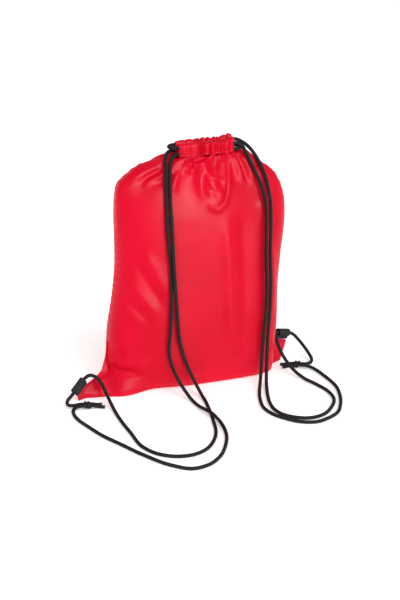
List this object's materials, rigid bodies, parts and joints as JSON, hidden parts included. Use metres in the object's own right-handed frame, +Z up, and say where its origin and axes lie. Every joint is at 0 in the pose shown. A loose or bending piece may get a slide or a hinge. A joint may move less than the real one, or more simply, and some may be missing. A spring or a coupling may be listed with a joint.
{
  "type": "drawstring backpack",
  "caption": "Stuffed woven-cloth drawstring backpack with a gathered neck, round cords that draw it shut and serve as shoulder straps, and webbing loops at the bottom corners.",
  "frame": {"origin": "on the floor under the middle of the bag's body, at the seam plane, where the bag rests on its base", "axes": "+Z up from the base to the gathered neck, -Y out of the front that the picture shows, +X to the bag's right as seen from the front"},
  "size_m": [0.4202, 0.3379, 0.389],
  "materials": {
    "cloth": "woven polyester with a slight sheen",
    "thread": "polyester sewing thread",
    "webbing": "ribbed flat webbing",
    "loop_thread": "polyester sewing thread",
    "cord": "braided round cord",
    "cord_tip": "heat-sealed cord end"
  },
  "bodies": {
    "bag": {"front_panel": "cloth", "back_panel": "cloth", "front_hem_tunnel": "cloth", "back_hem_tunnel": "cloth", "front_hem_stitching": "thread", "back_hem_stitching": "thread", "left_side_seam": "cloth", "right_side_seam": "cloth", "bottom_seam": "cloth", "left_loop_stitching": "loop_thread", "right_loop_stitching": "loop_thread", "left_drawcord": "cord", "right_drawcord": "cord", "left_knot": "cord", "right_knot": "cord", "left_cord_tips": "cord_tip", "right_cord_tips": "cord_tip"},
    "left_loop": {"left_corner_loop": "webbing"},
    "right_loop": {"right_corner_loop": "webbing"}
  },
  "joints": [
    {"name": "left_loop_flex", "type": "hinge", "parent": "bag", "child": "left_loop", "pos_m": [-0.19469, -0.02515, 0.01796], "axis": [0.7143, 0.3798, 0.5878], "range_deg": [-8, 8]},
    {"name": "right_loop_flex", "type": "hinge", "parent": "bag", "child": "right_loop", "pos_m": [0.14633, 0.01026, 0.03977], "axis": [0.8688, 0.3868, -0.309], "range_deg": [-8, 8]}
  ]
}
